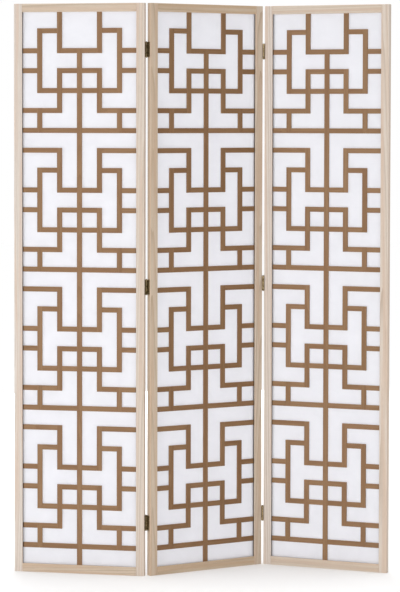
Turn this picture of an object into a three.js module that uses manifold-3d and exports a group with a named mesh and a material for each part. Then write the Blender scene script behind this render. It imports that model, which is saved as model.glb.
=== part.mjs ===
// A three-panel folding screen: light wood frames, brown lattice over white paper, and
// small butt hinges that let the panels stand in a zigzag, lie flat or fold into a stack.
//
// Millimetres, +Z up. In its own frame each panel spans X, its front face lies on Y = 0 and
// its back face on Y = FRAME_THICKNESS. The whole screen stands on Z = 0, with the middle of
// its bounding box over the origin. +X is to the right seen from the front, +Y points back.

import * as THREE from 'three';
import * as BufferGeometryUtils from 'three/addons/utils/BufferGeometryUtils.js';
import Module from 'manifold-3d';

// ---------------------------------------------------------------- driving dimensions

const PANEL_WIDTH = 400;
const PANEL_HEIGHT = 1700;
const FRAME_THICKNESS = 18;
const STILE_WIDTH = 25;
const RAIL_WIDTH = 25;

// How far each outer panel is folded back from lying flat beside the middle one, and how
// far the middle panel is turned from the screen's own X axis, in degrees.
const LEFT_FOLD = 45.4;
const RIGHT_FOLD = 57.1;
const MIDDLE_TURN = 33;

const FIT_GAP = 0.3; // between two pieces that touch on the real screen

// The lattice and the paper behind it sit in one groove round the inside of the frame.
const GROOVE_DEPTH = 10;
const LATTICE_RECESS = 5; // from the frame's front face back to the lattice
const LATTICE_THICKNESS = 5;
const PAPER_THICKNESS = 0.5;
const BORDER_COVER = 1; // how far the frame's edge hides the lattice's border strip

// The pattern: clear cells between the frame and the nearest bars, and even rows between.
const BAR_WIDTH = 15;
const END_CELL = 48; // above the first row and below the last
const SIDE_CELL = 45; // beside the outermost columns
const MOTIFS = 4;
const ROWS_PER_MOTIF = 7;
const OUTER_COLUMN = 2; // columns run from -2 to 2

// Stub tenons on the rails, in mortises in the stiles.
const TENON_LENGTH = 15;
const TENON_THICKNESS = 6;
const TENON_SHOULDER = 2.5;

// Butt hinges, between the stiles' edges, with the barrel proud of the face.
const STILE_SPACING = 3; // between two panels' edges when they lie flat
const HINGE_HEIGHT = 45;
const HINGE_TOP_INSET = 137; // from the panel's top to the upper hinge's middle
const HINGE_BOTTOM_INSET = 157; // from the panel's foot to the lower hinge's middle
const LEAF_THICKNESS = 1;
const LEAF_WIDTH = 13; // of the flat plate on the stile's edge
const BARREL_RADIUS = 2.75;
const PIN_RADIUS = 1.2;
const PIN_HEAD_RADIUS = 2.3;
const PIN_HEAD_HEIGHT = 1.5;
const KNUCKLES = 5;

const SCREW_SPACING = 28;
const SCREW_LENGTH = 10;
const SCREW_RADIUS = 1.2;
const SCREW_HEAD_RADIUS = 2.3;
const SCREW_TIP_LENGTH = 2.5;
const SCREW_SLOT_WIDTH = 0.6;
const SCREW_SLOT_DEPTH = 0.5;

const BARREL_SIDES = 12;
const SCREW_SIDES = 8;

// ---------------------------------------------------------------- worked-out places

const openingWidth = PANEL_WIDTH - 2 * STILE_WIDTH;
const openingHeight = PANEL_HEIGHT - 2 * RAIL_WIDTH;
const openingTop = PANEL_HEIGHT - RAIL_WIDTH;

const latticeBack = LATTICE_RECESS + LATTICE_THICKNESS;
const paperFront = latticeBack + FIT_GAP;
const paperBack = paperFront + PAPER_THICKNESS;
const grooveFront = LATTICE_RECESS - FIT_GAP;
const grooveBack = paperBack + FIT_GAP;
const insetReach = GROOVE_DEPTH - FIT_GAP; // how far lattice and paper reach into the frame

const columnPitch = (openingWidth / 2 - SIDE_CELL - BAR_WIDTH / 2) / OUTER_COLUMN;
const lastRow = MOTIFS * ROWS_PER_MOTIF - 1;
const rowPitch = (openingHeight - 2 * END_CELL - BAR_WIDTH) / (lastRow - 1);

const pinProud = BARREL_RADIUS + FIT_GAP; // from the frame's face to the pin's axis
const boreRadius = PIN_RADIUS + FIT_GAP;
const leafOuter = STILE_SPACING / 2 - FIT_GAP; // the leaf's side on the stile, from the pin
const leafInner = leafOuter - LEAF_THICKNESS; // its side that faces the other leaf
const leafMiddle = pinProud + LEAF_WIDTH / 2; // the plate's middle line, from the pin
const lowerHinge = HINGE_BOTTOM_INSET;
const upperHinge = PANEL_HEIGHT - HINGE_TOP_INSET;
const HINGE_LEVELS = {
  upper: upperHinge,
  centre: (lowerHinge + upperHinge) / 2,
  lower: lowerHinge,
};
const SCREW_LEVELS = { top: SCREW_SPACING / 2, bottom: -SCREW_SPACING / 2 };

// ---------------------------------------------------------------- materials

const frameWood = new THREE.MeshStandardMaterial({ color: 0xdcccba, roughness: 0.62 });
const latticeWood = new THREE.MeshStandardMaterial({ color: 0xa37b56, roughness: 0.6 });
const whitePaper = new THREE.MeshStandardMaterial({ color: 0xf1f1f4, roughness: 0.9 });
const agedBrass = new THREE.MeshStandardMaterial({
  color: 0x6f5f45,
  roughness: 0.45,
  metalness: 0.8,
});
const screwSteel = new THREE.MeshStandardMaterial({
  color: 0x8a7a5c,
  roughness: 0.4,
  metalness: 0.85,
});

// ---------------------------------------------------------------- solids

const wasm = await Module();
wasm.setup();

// A closed three.js geometry as a solid that can be joined and cut.
function solidOf(geometry) {
  const bare = geometry.clone();
  bare.deleteAttribute('normal');
  bare.deleteAttribute('uv');
  const merged = BufferGeometryUtils.mergeVertices(bare);
  const mesh = new wasm.Mesh({
    numProp: 3,
    vertProperties: new Float32Array(merged.attributes.position.array),
    triVerts: new Uint32Array(merged.index.array),
  });
  return new wasm.Manifold(mesh);
}

function geometryOf(solid) {
  const mesh = solid.getMesh();
  const geometry = new THREE.BufferGeometry();
  geometry.setAttribute('position', new THREE.BufferAttribute(mesh.vertProperties, 3));
  geometry.setIndex(new THREE.BufferAttribute(mesh.triVerts, 1));
  const flat = geometry.toNonIndexed();
  flat.computeVertexNormals();
  return flat;
}

// A block between two ends along each axis, given in either order.
function block(xs, ys, zs) {
  const size = [xs, ys, zs].map(([a, b]) => Math.abs(b - a));
  const middle = [xs, ys, zs].map(([a, b]) => (a + b) / 2);
  return solidOf(new THREE.BoxGeometry(...size).translate(...middle));
}

// A round bar along Z, centred on the axis.
function roundBar(radius, bottom, top) {
  const bar = new THREE.CylinderGeometry(radius, radius, top - bottom, BARREL_SIDES);
  return solidOf(bar.rotateX(Math.PI / 2).translate(0, 0, (bottom + top) / 2));
}

// A turned shape: radius and height pairs, from one point on the axis to another, spun
// about Z. Its heights rise.
function turned(points, sides) {
  const profile = points.map(([radius, height]) => new THREE.Vector2(radius, height));
  return solidOf(new THREE.LatheGeometry(profile, sides).rotateX(Math.PI / 2));
}

function addMesh(group, name, solid, material) {
  const mesh = new THREE.Mesh(geometryOf(solid), material);
  mesh.name = name;
  group.add(mesh);
}

// ---------------------------------------------------------------- screws and their holes

// A countersunk screw along +Z, its flat head at Z = 0 and its tip at SCREW_LENGTH, with a
// cross recess in the head.
function buildScrew() {
  const profile = [
    [0, 0],
    [SCREW_HEAD_RADIUS, 0],
    [SCREW_RADIUS, LEAF_THICKNESS],
    [SCREW_RADIUS, SCREW_LENGTH - SCREW_TIP_LENGTH],
    [0, SCREW_LENGTH],
  ];
  const arm = [-SCREW_HEAD_RADIUS / 2, SCREW_HEAD_RADIUS / 2];
  const across = [-SCREW_SLOT_WIDTH / 2, SCREW_SLOT_WIDTH / 2];
  const depth = [-SCREW_SLOT_DEPTH, SCREW_SLOT_DEPTH];
  return turned(profile, SCREW_SIDES)
    .subtract(block(arm, across, depth))
    .subtract(block(across, arm, depth));
}

// The space that a screw needs: its own shape, FIT_GAP larger all round, and open past the
// head.
function screwHole() {
  const shank = SCREW_RADIUS + FIT_GAP;
  const head = SCREW_HEAD_RADIUS + FIT_GAP;
  const profile = [
    [0, -FIT_GAP],
    [head, -FIT_GAP],
    [head, 0],
    [shank, LEAF_THICKNESS],
    [shank, SCREW_LENGTH + FIT_GAP],
    [0, SCREW_LENGTH + FIT_GAP],
  ];
  return turned(profile, SCREW_SIDES);
}

// Puts a shape made for a screw into a leaf that lies at side from its pin (1 is +X), with
// its axis at (y, z) from the pin and the hinge's middle.
function atScrew(shape, side, y, z) {
  return shape.rotate([0, side * 90, 0]).translate([side * leafInner, y, z]);
}

// ---------------------------------------------------------------- hinges

// The heights of the knuckles that one leaf carries, from the bottom up: every second one.
function knuckleSpans(first) {
  const pitch = HINGE_HEIGHT / KNUCKLES;
  const spans = [];
  for (let i = first; i < KNUCKLES; i += 2) {
    const bottom = -HINGE_HEIGHT / 2 + i * pitch;
    spans.push([bottom + FIT_GAP / 2, bottom + pitch - FIT_GAP / 2]);
  }
  return spans;
}

// One leaf about its pin's axis. side is 1 where its stile lies at +X of the pin. out is 1
// where the barrel stands proud of the panel's back, and -1 where it stands proud of its
// front. The plate lies on the stile's edge; a web joins it to each knuckle.
function buildLeaf(side, out, firstKnuckle) {
  const across = [side * leafInner, side * leafOuter];
  const plateNear = -out * pinProud;
  const plateFar = -out * (pinProud + LEAF_WIDTH);
  const tall = [-HINGE_HEIGHT / 2, HINGE_HEIGHT / 2];
  let leaf = block(across, [plateNear, plateFar], tall);
  for (const [bottom, top] of knuckleSpans(firstKnuckle)) {
    leaf = leaf
      .add(roundBar(BARREL_RADIUS, bottom, top))
      .add(block(across, [plateNear, -out * boreRadius], [bottom, top]));
  }
  leaf = leaf.subtract(roundBar(boreRadius, -HINGE_HEIGHT, HINGE_HEIGHT));
  for (const z of Object.values(SCREW_LEVELS)) {
    leaf = leaf.subtract(atScrew(screwHole(), side, -out * leafMiddle, z));
  }
  return leaf;
}

// The pin, with a low head past each end of the barrel.
function buildPin() {
  const half = HINGE_HEIGHT / 2 + FIT_GAP;
  const end = half + PIN_HEAD_HEIGHT;
  const profile = [
    [0, -end],
    [PIN_HEAD_RADIUS, -end],
    [PIN_HEAD_RADIUS, -half],
    [PIN_RADIUS, -half],
    [PIN_RADIUS, half],
    [PIN_HEAD_RADIUS, half],
    [PIN_HEAD_RADIUS, end],
    [0, end],
  ];
  return turned(profile, BARREL_SIDES);
}

// A hinged edge of a panel: which edge (-1 left, 1 right), on which face the barrels stand
// proud (out), and which knuckles its leaves carry.
function pinPlace({ edge, out }) {
  return {
    x: edge * (PANEL_WIDTH / 2 + STILE_SPACING / 2),
    y: out > 0 ? FRAME_THICKNESS + pinProud : -pinProud,
  };
}

// The leaves and screws that one panel carries on one hinged edge.
function addLeaves(group, hingedEdge) {
  const { edge, out, firstKnuckle, joint, leafName } = hingedEdge;
  const side = -edge;
  const pin = pinPlace(hingedEdge);
  for (const [level, height] of Object.entries(HINGE_LEVELS)) {
    const place = [pin.x, pin.y, height];
    const name = `${joint}_${level}_hinge_${leafName}`;
    addMesh(group, `${name}_leaf`, buildLeaf(side, out, firstKnuckle).translate(place), agedBrass);
    for (const [end, z] of Object.entries(SCREW_LEVELS)) {
      const screw = atScrew(buildScrew(), side, -out * leafMiddle, z).translate(place);
      addMesh(group, `${name}_screw_${end}`, screw, screwSteel);
    }
  }
}

function addPins(group, hingedEdge) {
  const pin = pinPlace(hingedEdge);
  for (const [level, height] of Object.entries(HINGE_LEVELS)) {
    const solid = buildPin().translate([pin.x, pin.y, height]);
    addMesh(group, `${hingedEdge.joint}_${level}_hinge_pin`, solid, agedBrass);
  }
}

// ---------------------------------------------------------------- frame

// A full-height stile on the panel's left (edge -1) or right (edge 1) side: grooved for the
// lattice and paper, mortised for the two rails, and drilled for any hinges it carries.
function buildStile(edge, hingedEdge) {
  const inner = edge * (openingWidth / 2);
  const outer = edge * (PANEL_WIDTH / 2);
  let stile = block([inner, outer], [0, FRAME_THICKNESS], [0, PANEL_HEIGHT]);

  const grooveEnds = [RAIL_WIDTH - GROOVE_DEPTH, openingTop + GROOVE_DEPTH];
  const mouth = inner - edge * FIT_GAP; // a cut starts just outside the edge it opens
  const grooveFloor = inner + edge * GROOVE_DEPTH;
  stile = stile.subtract(block([mouth, grooveFloor], [grooveFront, grooveBack], grooveEnds));

  const mortiseFloor = inner + edge * (TENON_LENGTH + FIT_GAP);
  for (const end of ['bottom', 'top']) {
    const [low, high] = tenonHeights(end);
    const [front, back] = tenonDepths();
    stile = stile.subtract(
      block([mouth, mortiseFloor], [front - FIT_GAP, back + FIT_GAP], [low - FIT_GAP, high + FIT_GAP]),
    );
  }

  if (hingedEdge) {
    const pin = pinPlace(hingedEdge);
    for (const height of Object.values(HINGE_LEVELS)) {
      for (const z of Object.values(SCREW_LEVELS)) {
        const hole = atScrew(screwHole(), -edge, -hingedEdge.out * leafMiddle, z);
        stile = stile.subtract(hole.translate([pin.x, pin.y, height]));
      }
    }
  }
  return stile;
}

// The lowest and highest point of a rail's tenons: clear of the rail's outer edge and of
// its groove by one shoulder each.
function tenonHeights(end) {
  const low = TENON_SHOULDER;
  const high = RAIL_WIDTH - GROOVE_DEPTH - TENON_SHOULDER;
  return end === 'bottom' ? [low, high] : [PANEL_HEIGHT - high, PANEL_HEIGHT - low];
}

function tenonDepths() {
  const middle = FRAME_THICKNESS / 2;
  return [middle - TENON_THICKNESS / 2, middle + TENON_THICKNESS / 2];
}

// A rail between the stiles, with a groove on its inner edge and a tenon at each end.
function buildRail(end) {
  const shoulder = openingWidth / 2 - FIT_GAP;
  const heights = end === 'bottom' ? [0, RAIL_WIDTH] : [openingTop, PANEL_HEIGHT];
  const grooveHeights =
    end === 'bottom'
      ? [RAIL_WIDTH - GROOVE_DEPTH, RAIL_WIDTH + FIT_GAP]
      : [openingTop - FIT_GAP, openingTop + GROOVE_DEPTH];
  const tenonReach = openingWidth / 2 + TENON_LENGTH;
  const groove = block([-openingWidth, openingWidth], [grooveFront, grooveBack], grooveHeights);
  return block([-shoulder, shoulder], [0, FRAME_THICKNESS], heights)
    .subtract(groove)
    .add(block([-tenonReach, tenonReach], tenonDepths(), tenonHeights(end)));
}

// ---------------------------------------------------------------- lattice and paper

// Each motif's bars. A horizontal bar is [row, from column, to column] and a vertical one
// [column, from row, to row]; rows count down from the motif's own top row, 0. EDGE stands
// for the border strip at the side of the panel.
const EDGE = 3;
const HORIZONTAL_BARS = [
  [1, 1, 2],
  [2, 0, 1],
  [2, 2, EDGE],
  [3, 0, 1],
  [3, 2, EDGE],
  [4, 0, 2],
  [5, 1, EDGE],
  [6, 0, EDGE],
];
const TOP_ROW_BAR = [0, 1, EDGE]; // left out where the motif's top row is the frame itself
const VERTICAL_BARS = [
  [1, 0, 2],
  [1, 3, 5],
  [2, 1, 4],
  [2, 5, 6],
];
const CENTRE_BAR_START = 2; // the centre bar runs from here in the first motif to the foot

// The border strip's inner and outer side, measured from the opening's edge outwards.
const borderMiddle = (BORDER_COVER + insetReach) / 2;

function columnX(column) {
  return column === EDGE ? openingWidth / 2 + borderMiddle : column * columnPitch;
}

function rowZ(row) {
  if (row === 0) return openingTop + borderMiddle;
  if (row > lastRow) return RAIL_WIDTH - borderMiddle;
  return openingTop - END_CELL - BAR_WIDTH / 2 - (row - 1) * rowPitch;
}

// A bar's two ends, run on by half a bar past the middle of what it meets, so that corners
// are square, or only to the middle of the border strip.
function barEnds(a, b, aIsBorder, bIsBorder) {
  const direction = Math.sign(b - a);
  const start = a - direction * (aIsBorder ? 0 : BAR_WIDTH / 2);
  const end = b + direction * (bIsBorder ? 0 : BAR_WIDTH / 2);
  return [start, end];
}

function buildLattice() {
  const depth = [LATTICE_RECESS, latticeBack];
  const outerX = openingWidth / 2 + insetReach;
  const innerX = openingWidth / 2 + BORDER_COVER;
  const outerZ = [RAIL_WIDTH - insetReach, openingTop + insetReach];
  const innerZ = [RAIL_WIDTH - BORDER_COVER, openingTop + BORDER_COVER];
  const through = [0, FRAME_THICKNESS];
  let lattice = block([-outerX, outerX], depth, outerZ).subtract(
    block([-innerX, innerX], through, innerZ),
  );

  const half = BAR_WIDTH / 2;
  const addHorizontal = (row, from, to) => {
    const z = rowZ(row);
    const ends = barEnds(columnX(from), columnX(to), false, to === EDGE);
    for (const side of [-1, 1]) {
      const xs = ends.map((x) => side * x);
      lattice = lattice.add(block(xs, depth, [z - half, z + half]));
    }
  };
  const addVertical = (column, from, to) => {
    const zs = barEnds(rowZ(from), rowZ(to), from === 0, to > lastRow);
    for (const side of column === 0 ? [1] : [-1, 1]) {
      const x = side * columnX(column);
      lattice = lattice.add(block([x - half, x + half], depth, zs));
    }
  };

  for (let motif = 0; motif < MOTIFS; motif += 1) {
    const top = motif * ROWS_PER_MOTIF;
    const bars = motif === 0 ? HORIZONTAL_BARS : [TOP_ROW_BAR, ...HORIZONTAL_BARS];
    for (const [row, from, to] of bars) addHorizontal(top + row, from, to);
    for (const [column, from, to] of VERTICAL_BARS) addVertical(column, top + from, top + to);
  }
  addVertical(0, CENTRE_BAR_START, lastRow + 1);
  return lattice;
}

// The sheet behind the lattice, as large as the lattice with its border.
function buildPaper() {
  const reach = openingWidth / 2 + insetReach;
  return block(
    [-reach, reach],
    [paperFront, paperBack],
    [RAIL_WIDTH - insetReach, openingTop + insetReach],
  );
}

// ---------------------------------------------------------------- panels and the screen

// One panel, with the leaves on its hinged edges.
function buildPanel(name, hingedEdges) {
  const panel = new THREE.Group();
  const onEdge = (edge) => hingedEdges.find((hinged) => hinged.edge === edge);
  addMesh(panel, `${name}_left_stile`, buildStile(-1, onEdge(-1)), frameWood);
  addMesh(panel, `${name}_right_stile`, buildStile(1, onEdge(1)), frameWood);
  addMesh(panel, `${name}_top_rail`, buildRail('top'), frameWood);
  addMesh(panel, `${name}_bottom_rail`, buildRail('bottom'), frameWood);
  addMesh(panel, `${name}_lattice`, buildLattice(), latticeWood);
  addMesh(panel, `${name}_paper`, buildPaper(), whitePaper);
  for (const hinged of hingedEdges) addLeaves(panel, hinged);
  return panel;
}

// Hangs an outer panel on the pins of the middle one. The pivot group turns about the pins.
function hang(panel, ownEdge, middleEdge, fold) {
  const pin = pinPlace(middleEdge);
  const own = pinPlace(ownEdge);
  const pivot = new THREE.Group();
  pivot.position.set(pin.x, pin.y, 0);
  pivot.rotation.z = -THREE.MathUtils.degToRad(fold);
  panel.position.set(-own.x, -own.y, 0);
  pivot.add(panel);
  return pivot;
}

const BACK = 1;
const FRONT = -1;
const middleLeft = { edge: -1, out: BACK, firstKnuckle: 0, joint: 'left', leafName: 'middle' };
const middleRight = { edge: 1, out: FRONT, firstKnuckle: 0, joint: 'right', leafName: 'middle' };
const leftWing = { edge: 1, out: BACK, firstKnuckle: 1, joint: 'left', leafName: 'wing' };
const rightWing = { edge: -1, out: FRONT, firstKnuckle: 1, joint: 'right', leafName: 'wing' };

const middlePanel = buildPanel('middle', [middleLeft, middleRight]);
addPins(middlePanel, middleLeft);
addPins(middlePanel, middleRight);
middlePanel.add(hang(buildPanel('left', [leftWing]), leftWing, middleLeft, LEFT_FOLD));
middlePanel.add(hang(buildPanel('right', [rightWing]), rightWing, middleRight, RIGHT_FOLD));
middlePanel.rotation.z = THREE.MathUtils.degToRad(MIDDLE_TURN);

const group = new THREE.Group();
group.name = 'folding_screen';
group.add(middlePanel);

// Bring the middle of the screen's outline over the origin.
group.updateMatrixWorld(true);
const outline = new THREE.Box3().setFromObject(group, true);
const centre = outline.getCenter(new THREE.Vector3());
middlePanel.position.x -= centre.x;
middlePanel.position.y -= centre.y;
group.updateMatrixWorld(true);

export default group;
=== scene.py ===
"""A three-panel folding screen: light wood frames, brown lattice over white paper, and small
brass butt hinges. Metres, +Z up. Each panel's pieces are worked out in the panel's own frame
(X along its front, Y = 0 on its front face, Z up from the floor) and then put in place."""

import math

import bmesh
import bpy
import numpy as np
from mathutils import Matrix, Vector


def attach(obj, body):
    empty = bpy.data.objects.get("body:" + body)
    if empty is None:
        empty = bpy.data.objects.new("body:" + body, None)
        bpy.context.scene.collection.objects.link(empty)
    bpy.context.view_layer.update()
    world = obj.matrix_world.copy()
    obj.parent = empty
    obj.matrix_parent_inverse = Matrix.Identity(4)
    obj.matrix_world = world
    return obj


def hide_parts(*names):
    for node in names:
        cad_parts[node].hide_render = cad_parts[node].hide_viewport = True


MM = 0.001

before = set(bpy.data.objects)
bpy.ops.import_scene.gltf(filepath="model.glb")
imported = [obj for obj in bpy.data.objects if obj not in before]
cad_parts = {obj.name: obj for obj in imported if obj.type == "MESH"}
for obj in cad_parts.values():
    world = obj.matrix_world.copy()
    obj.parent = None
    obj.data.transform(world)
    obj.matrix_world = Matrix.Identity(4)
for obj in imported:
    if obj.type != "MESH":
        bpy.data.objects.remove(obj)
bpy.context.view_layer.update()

# ---------------------------------------------------------------- sizes

PANELS = ("left", "middle", "right")

# The frame.
GROOVE_DEPTH = 10 * MM
FIT_GAP = 0.3 * MM
TENON_THICKNESS = 6 * MM
TENON_SHOULDER = 2.5 * MM
EDGE_ROUND = 1.2 * MM  # the radius that every long edge is eased to
EDGE_STEPS = 4

# The lattice's pattern.
BAR_WIDTH = 15 * MM
END_CELL = 48 * MM
SIDE_CELL = 45 * MM
MOTIFS = 4
ROWS_PER_MOTIF = 7
OUTER_COLUMN = 2
BORDER_COVER = 1 * MM
BAR_ROUND = 0.45 * MM
BAR_STEPS = 3
BUTT_JOINT = 0.12 * MM  # the hairline between two bars that meet

# The paper.
PAPER_WAVE = 0.18 * MM  # the greatest height of its waves
PAPER_TAUT = 40 * MM  # how far from the frame the waves grow to their height
PAPER_RIPPLES = ((21, 4), (-9, 11), (13, -27))  # radians per metre along X and Z
PAPER_COLUMNS = 48
PAPER_ROWS = 200

# The hinges.
BARREL_RADIUS = 2.75 * MM
BORE_RADIUS = 1.5 * MM
KNUCKLES = 5
KNUCKLE_GAP = 0.2 * MM
KNUCKLE_TURN = math.radians(258)  # how far a leaf's end rolls round the pin
CHAMFER = 0.15 * MM
LEAF_THICKNESS = 1 * MM
LEAF_ROUND = 0.25 * MM
LEAF_STEPS = 2
BEND_POINTS = 9
ROLL_POINTS = 28

PIN_RADIUS = 1.2 * MM
PIN_HEAD_RADIUS = 2.35 * MM
PIN_HEAD_HEIGHT = 1.5 * MM
PIN_HEAD_RIM = 0.55 * MM  # the upright side of the head, below its dome
PIN_SIDES = 28
DOME_STEPS = 6

# The screws. Each level is measured down from the head's face.
SCREW_SPACING = 28 * MM
SCREW_HEAD_RADIUS = 2.3 * MM
SCREW_RADIUS = 1.2 * MM
SCREW_TIP_RADIUS = 0.45 * MM
SCREW_FACE = 0.93  # the head's flat face, as a share of its radius
SCREW_RIM_LEVEL = 0.12 * MM
SCREW_NECK_LEVEL = 1.2 * MM
SCREW_TAPER_LEVEL = 7.5 * MM
SCREW_TIP_LEVEL = 9.4 * MM
SCREW_END_LEVEL = 9.8 * MM
SCREW_SIDES = 64
FACE_RINGS = 14
RECESS_WIDTH = 0.62 * MM
RECESS_REACH = 1.45 * MM
RECESS_DEPTH = 0.55 * MM
RECESS_SLOPE = 0.12 * MM
HOLE_CLEARANCE = 0.12 * MM
HOLE_TOP = 1 * MM  # how far the cutter for a screw's hole stands above the leaf
HOLE_RIM_LEVEL = 0.05 * MM
HOLE_NECK_LEVEL = 1.15 * MM
HOLE_END_LEVEL = 4 * MM

# ---------------------------------------------------------------- places, from the frame


def node_points(name):
    """The corners of a CAD node's mesh, in the row's frame."""
    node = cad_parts[name]
    points = np.empty(len(node.data.vertices) * 3)
    node.data.vertices.foreach_get("co", points)
    turn = np.array(node.matrix_world)
    return points.reshape(-1, 3) @ turn[:3, :3].T + turn[:3, 3]


class Place:
    """Where a panel stands: its own X runs along the longer side of its paper sheet, and its
    origin lies under the sheet's middle, on the line of its front face."""

    def __init__(self, panel):
        corners = np.unique(np.round(node_points(f"{panel}_paper")[:, :2], 7), axis=0)
        middle = corners.mean(axis=0)
        along = np.linalg.svd(corners - middle)[2][0]
        along = along * np.sign(along[0])
        self.turn = np.array([[along[0], -along[1]], [along[1], along[0]]])
        self.origin = middle
        stile = self.own(node_points(f"{panel}_left_stile"))
        self.origin = middle + self.turn @ [0.0, stile[:, 1].min()]

    def own(self, points):
        """Points of the row's frame in the panel's own frame."""
        flat = (points[:, :2] - self.origin) @ self.turn
        return np.column_stack([flat, points[:, 2]])

    def out(self, points):
        """Points of the panel's own frame in the row's frame."""
        flat = points[:, :2] @ self.turn.T + self.origin
        return np.column_stack([flat, points[:, 2]])

    def box(self, node):
        """A CAD node's lowest and highest corners in the panel's own frame."""
        points = self.own(node_points(node))
        return points.min(axis=0), points.max(axis=0)


PLACES = {panel: Place(panel) for panel in PANELS}

# ---------------------------------------------------------------- surfaces


def strips(rings, count, closed=False):
    """The faces between neighbouring rings of count points each: quad i, j joins point j and
    its neighbour on ring i to the same two on ring i + 1."""
    ring = np.arange(rings if closed else rings - 1)[:, None]
    point = np.arange(count)[None, :]
    after = (ring + 1) % rings
    beside = (point + 1) % count
    quads = [
        ring * count + point,
        ring * count + beside,
        after * count + beside,
        after * count + point,
    ]
    return np.stack(np.broadcast_arrays(*quads), axis=-1).reshape(-1, 4)


def lofted(rings):
    """A solid through rings of points, shape (rings, points, 3): the strips between them and
    a flat cap over the first ring and the last."""
    levels, count = rings.shape[:2]
    faces = strips(levels, count).tolist()
    faces.append(list(range(count))[::-1])
    faces.append(list(range((levels - 1) * count, levels * count)))
    return rings.reshape(-1, 3), faces


def quarter(steps):
    """Angles over a quarter turn."""
    return np.linspace(0, math.pi / 2, steps + 1)


def corner_arcs(steps):
    """The unit directions round a rectangle's four corners, anticlockwise from the lower
    left one, and for each direction the side that its corner lies on: -1 or 1 along X and Y."""
    arc = quarter(steps)
    starts = np.array([math.pi, 1.5 * math.pi, 0, 0.5 * math.pi])
    angles = (starts[:, None] + arc[None, :]).reshape(-1)
    sides = np.repeat([[-1, -1], [1, -1], [1, 1], [-1, 1]], steps + 1, axis=0)
    return np.column_stack([np.cos(angles), np.sin(angles)]), sides


def rounded_boxes(lows, highs, radius, steps):
    """Boxes with every edge rounded, one for each row of lows and highs: a ring of four
    corner arcs is carried up Z, and shrinks over a quarter turn at either end. Also gives, for
    each point, how far round an edge it lies: 0 on a flat face, 1 on the middle of an edge."""
    directions, sides = corner_arcs(steps)
    tilt = quarter(steps)
    lean = np.concatenate([np.sin(tilt), np.sin(tilt)[::-1]])
    rise = np.concatenate([-np.cos(tilt), np.cos(tilt)[::-1]])
    end = np.repeat([-1, 1], steps + 1)
    middle = (lows + highs)[:, None, None, :] / 2
    inner = (highs - lows)[:, None, None, :] / 2 - radius
    flat = sides[None, None] * inner[..., :2] + radius * lean[None, :, None, None] * directions
    level = end[None, :, None] * inner[..., 2] + radius * rise[None, :, None]
    level = np.broadcast_to(level, flat.shape[:3])
    points = np.concatenate([flat, level[..., None]], axis=-1) + middle
    ring = len(directions)
    levels = len(rise)
    base = strips(levels, ring)
    caps = np.array([np.arange(ring)[::-1], np.arange(ring) + (levels - 1) * ring])
    offsets = np.arange(len(lows)) * levels * ring
    faces = (base[None] + offsets[:, None, None]).reshape(-1, 4).tolist()
    faces += (caps[None] + offsets[:, None, None]).reshape(-1, ring).tolist()
    round_side = np.sin(2 * np.tile(quarter(steps), 4))
    round_end = np.sin(2 * np.concatenate([tilt, tilt[::-1]]))
    wear_and_highlight = np.maximum(round_side[None, :], round_end[:, None]).reshape(-1)
    return points.reshape(-1, 3), faces, np.tile(wear_and_highlight, len(lows))


def slab(front, back):
    """A closed sheet between two grids of points, each (rows, columns, 3): the front grid, the
    back grid turned over, and a strip round the rim."""
    rows, columns = front.shape[:2]
    index = np.arange(rows * columns).reshape(rows, columns)
    quads = np.stack([index[:-1, :-1], index[:-1, 1:], index[1:, 1:], index[1:, :-1]], axis=-1)
    quads = quads.reshape(-1, 4)
    rim = np.concatenate([index[0, :-1], index[:-1, -1], index[-1, :0:-1], index[:0:-1, 0]])
    after = np.roll(rim, -1)
    shift = rows * columns
    sides = np.column_stack([rim, rim + shift, after + shift, after])
    faces = np.concatenate([quads, quads[:, ::-1] + shift, sides])
    return np.concatenate([front.reshape(-1, 3), back.reshape(-1, 3)]), faces.tolist()


def spun(radius, height, sides):
    """A turned solid about Z: the profile's points, radius and height, at each of sides
    angles. The profile starts and ends on the axis."""
    angle = np.linspace(0, 2 * math.pi, sides, endpoint=False)
    across = radius[:, None] * np.cos(angle)
    along = radius[:, None] * np.sin(angle)
    level = np.repeat(height[:, None], sides, axis=1)
    return lofted(np.stack([across, along, level], axis=-1))


def joined(*shapes):
    """Several shapes, each its points and faces, as one."""
    points = np.concatenate([shape[0] for shape in shapes])
    faces = []
    start = 0
    for shape in shapes:
        faces += [[corner + start for corner in face] for face in shape[1]]
        start += len(shape[0])
    return points, faces


# ---------------------------------------------------------------- pieces

SMOOTH_ANGLE = math.radians(38)
MERGE_DISTANCE = 0.002 * MM


def add_piece(name, points, faces, finish, body, replaced, attributes=None):
    """Makes a mesh piece at the origin from points of the row's frame. attributes are numbers
    or vectors for its points, by name. Its doubles are merged, which closes poles and steps,
    and its faces are turned outwards."""
    mesh = bpy.data.meshes.new(name)
    mesh.from_pydata(points, [], faces)
    for key, values in (attributes or {}).items():
        kind, field = ("FLOAT_VECTOR", "vector") if values.ndim == 2 else ("FLOAT", "value")
        layer = mesh.attributes.new(key, kind, "POINT")
        layer.data.foreach_set(field, values.astype(np.float32).reshape(-1))
    work = bmesh.new()
    work.from_mesh(mesh)
    bmesh.ops.remove_doubles(work, verts=work.verts, dist=MERGE_DISTANCE)
    bmesh.ops.recalc_face_normals(work, faces=work.faces)
    work.to_mesh(mesh)
    work.free()
    mesh.shade_smooth()
    mesh.set_sharp_from_angle(angle=SMOOTH_ANGLE)
    mesh.materials.append(finish)
    piece = bpy.data.objects.new(name, mesh)
    bpy.context.scene.collection.objects.link(piece)
    even = piece.modifiers.new("even_shading", "WEIGHTED_NORMAL")
    even.keep_sharp = True
    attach(piece, body)
    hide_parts(*replaced)
    return piece


# ---------------------------------------------------------------- grain

# A board's grain is a vector at each point: how far it lies along the board, and its two
# distances from the middle of the tree, which drifts as the board runs.
GRAIN_SEED = 41
draws = np.random.default_rng(GRAIN_SEED)

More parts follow.
